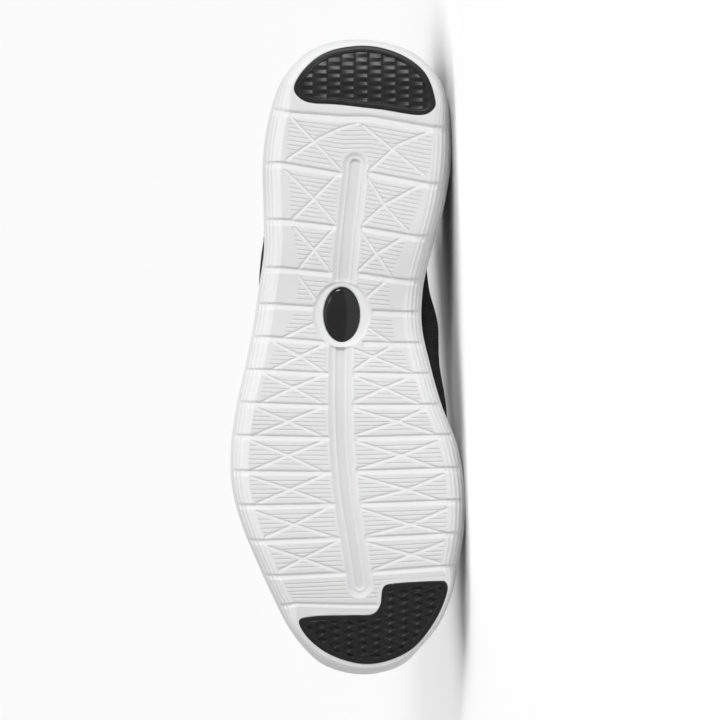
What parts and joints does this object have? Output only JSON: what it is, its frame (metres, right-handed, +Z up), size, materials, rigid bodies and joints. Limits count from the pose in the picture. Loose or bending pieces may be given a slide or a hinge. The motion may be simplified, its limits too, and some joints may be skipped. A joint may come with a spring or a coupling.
{
  "type": "dance sneaker",
  "caption": "Left lace-up dance sneaker, knitted upper on a moulded foam sole with cross grooves, lying on its inner side.",
  "frame": {"origin": "centre of the bounding box on the floor that the shoe lies on", "axes": "+X from toe to heel, +Y from the sole towards the collar, +Z up, from the inner side on the floor to the outer side"},
  "size_m": [0.27, 0.1018, 0.0985],
  "materials": {
    "sole_foam": "matte white moulded foam",
    "insert_rubber": "black rubber, satin",
    "badge_gloss": "glossy black",
    "upper_knit": "black knit",
    "tongue_knit": "padded black knit",
    "insole_cloth": "dark grey cloth on foam",
    "lace_cord": "flat woven black lace"
  },
  "bodies": {
    "root": {"sole": "sole_foam", "heel_pod": "insert_rubber", "toe_pod": "insert_rubber", "badge": "badge_gloss", "upper": "upper_knit", "tongue": "tongue_knit", "insole": "insole_cloth", "laces": "lace_cord"}
  },
  "joints": []
}
